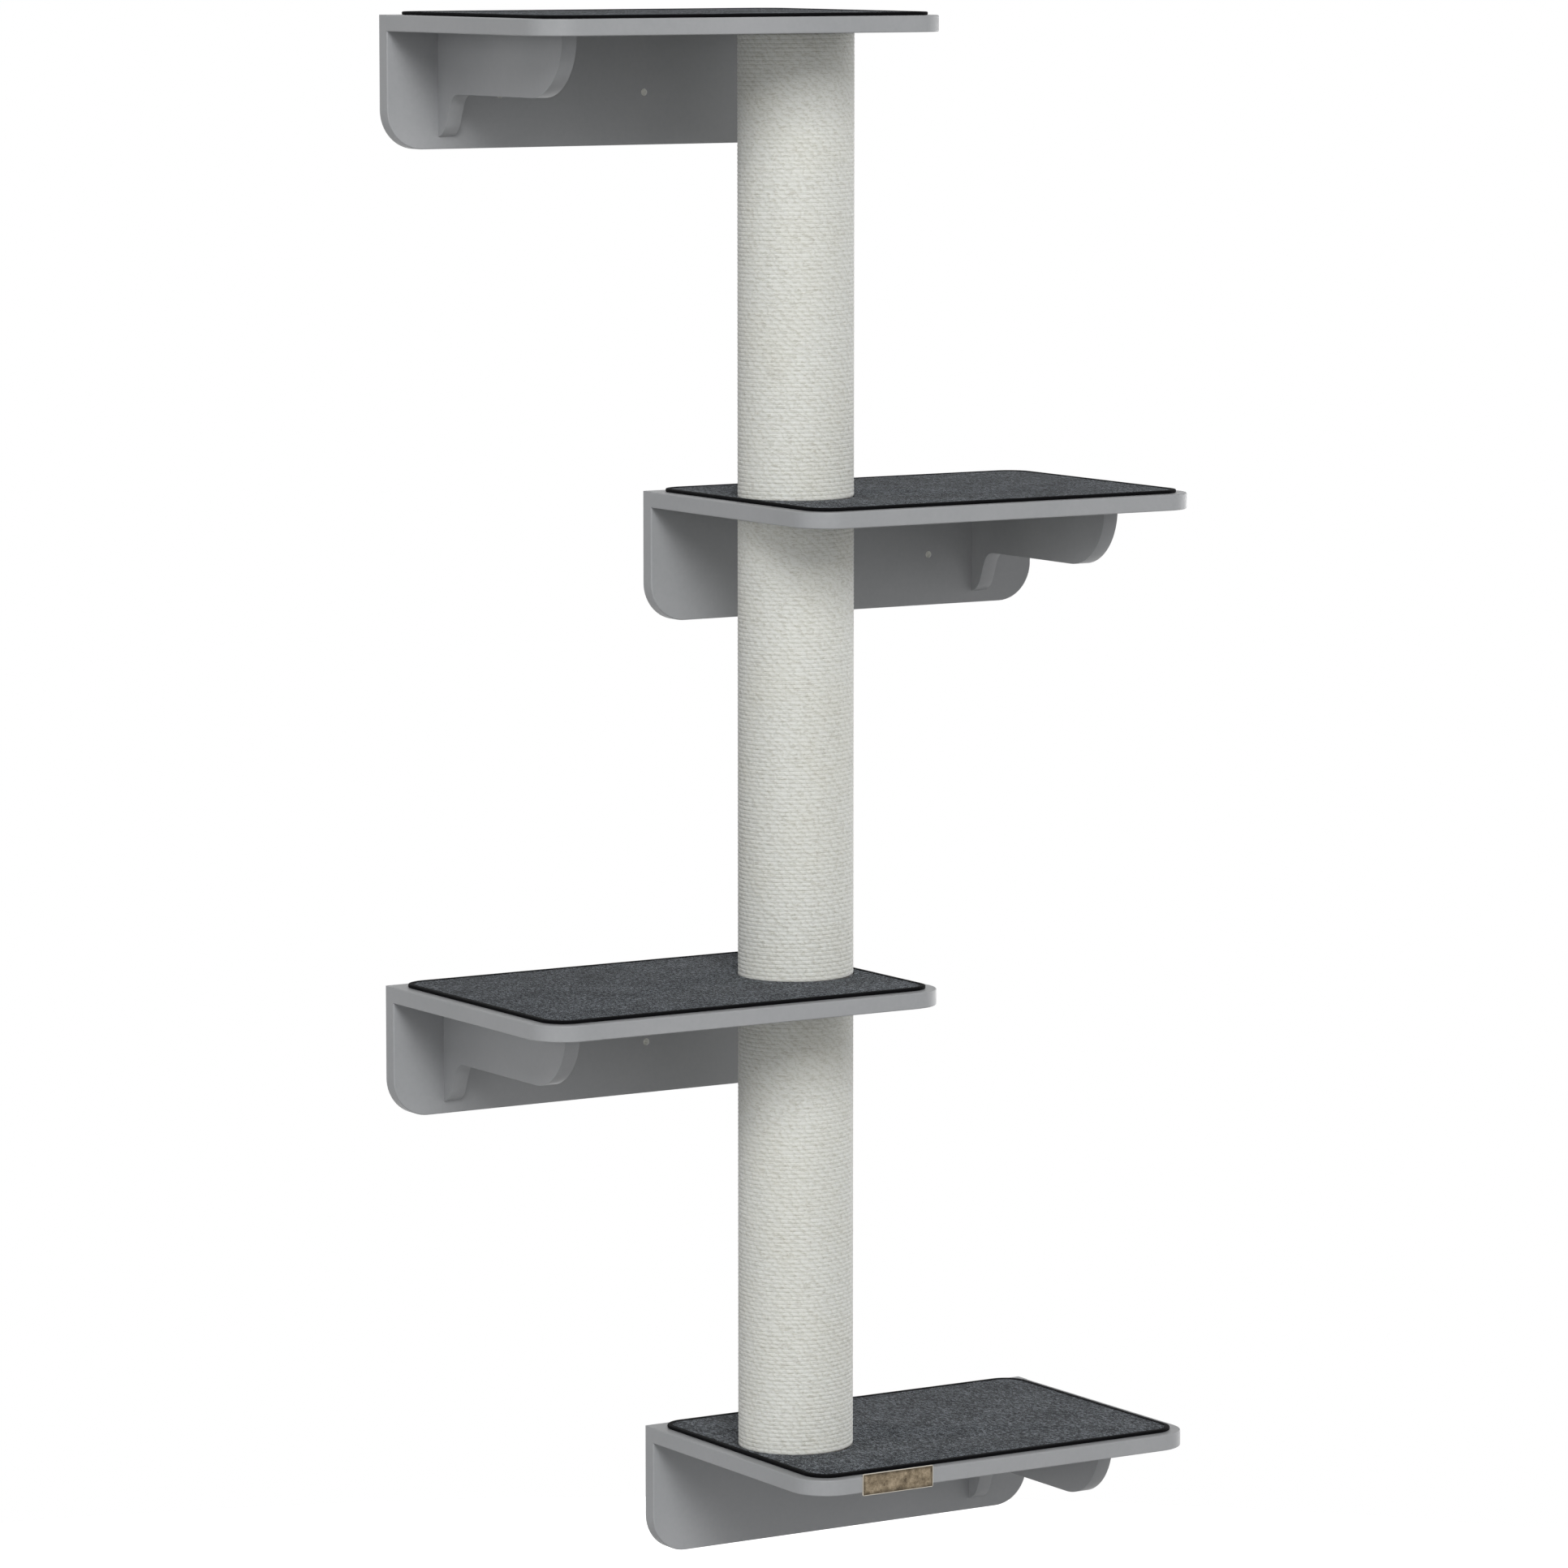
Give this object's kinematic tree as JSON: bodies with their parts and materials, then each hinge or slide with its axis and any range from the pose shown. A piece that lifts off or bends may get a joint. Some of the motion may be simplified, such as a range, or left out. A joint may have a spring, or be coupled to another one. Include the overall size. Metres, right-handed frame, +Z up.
{
  "type": "wall mounted cat tree",
  "caption": "Wall mounted cat tree: felt-covered platforms, staggered left and right of a line of rope-wound posts, each with a back board and a bracket.",
  "frame": {"origin": "on the wall plane, behind the axis of the posts, at the height of the lowest pair of wall holes", "axes": "+Z up along the posts, +Y into the wall so that the front faces -Y, +X to the right as seen from the room"},
  "size_m": [0.59, 0.251, 1.2206],
  "materials": {
    "board": "satin grey paint on fibreboard",
    "felt": "needle felt, heather blue-grey",
    "binding_tape": "black woven tape",
    "hook_tape": "black hook tape",
    "rope": "twisted off-white rope",
    "cardboard": "wound cardboard tube",
    "plug_wood": "raw sawn wood",
    "zinc_steel": "bright zinc",
    "insert_brass": "turned brass",
    "aged_bronze": "aged bronze, bare"
  },
  "bodies": {
    "root": {"platform_1": "board", "platform_2": "board", "platform_3": "board", "platform_4": "board", "back_board_1": "board", "back_board_2": "board", "back_board_3": "board", "back_board_4": "board", "bracket_1": "board", "bracket_2": "board", "bracket_3": "board", "bracket_4": "board", "screws_1": "zinc_steel", "screws_2": "zinc_steel", "screws_3": "zinc_steel", "screws_4": "zinc_steel", "hook_patches_1": "hook_tape", "hook_patches_2": "hook_tape", "hook_patches_3": "hook_tape", "hook_patches_4": "hook_tape", "mat_1": "felt", "mat_2": "felt", "mat_3": "felt", "mat_4": "felt", "binding_1": "binding_tape", "binding_2": "binding_tape", "binding_3": "binding_tape", "binding_4": "binding_tape", "core_tube_1": "cardboard", "core_tube_2": "cardboard", "core_tube_3": "cardboard", "upper_plug_1": "plug_wood", "upper_plug_2": "plug_wood", "upper_plug_3": "plug_wood", "lower_plug_1": "plug_wood", "lower_plug_2": "plug_wood", "lower_plug_3": "plug_wood", "inserts_1": "insert_brass", "inserts_2": "insert_brass", "inserts_3": "insert_brass", "rope_cover_1": "rope", "rope_cover_2": "rope", "rope_cover_3": "rope", "rope_turns_1": "rope", "rope_turns_2": "rope", "rope_turns_3": "rope", "top_bolt": "zinc_steel", "studs": "zinc_steel", "foot_bolt": "zinc_steel", "foot_washer": "zinc_steel", "nameplate": "aged_bronze"}
  },
  "joints": []
}
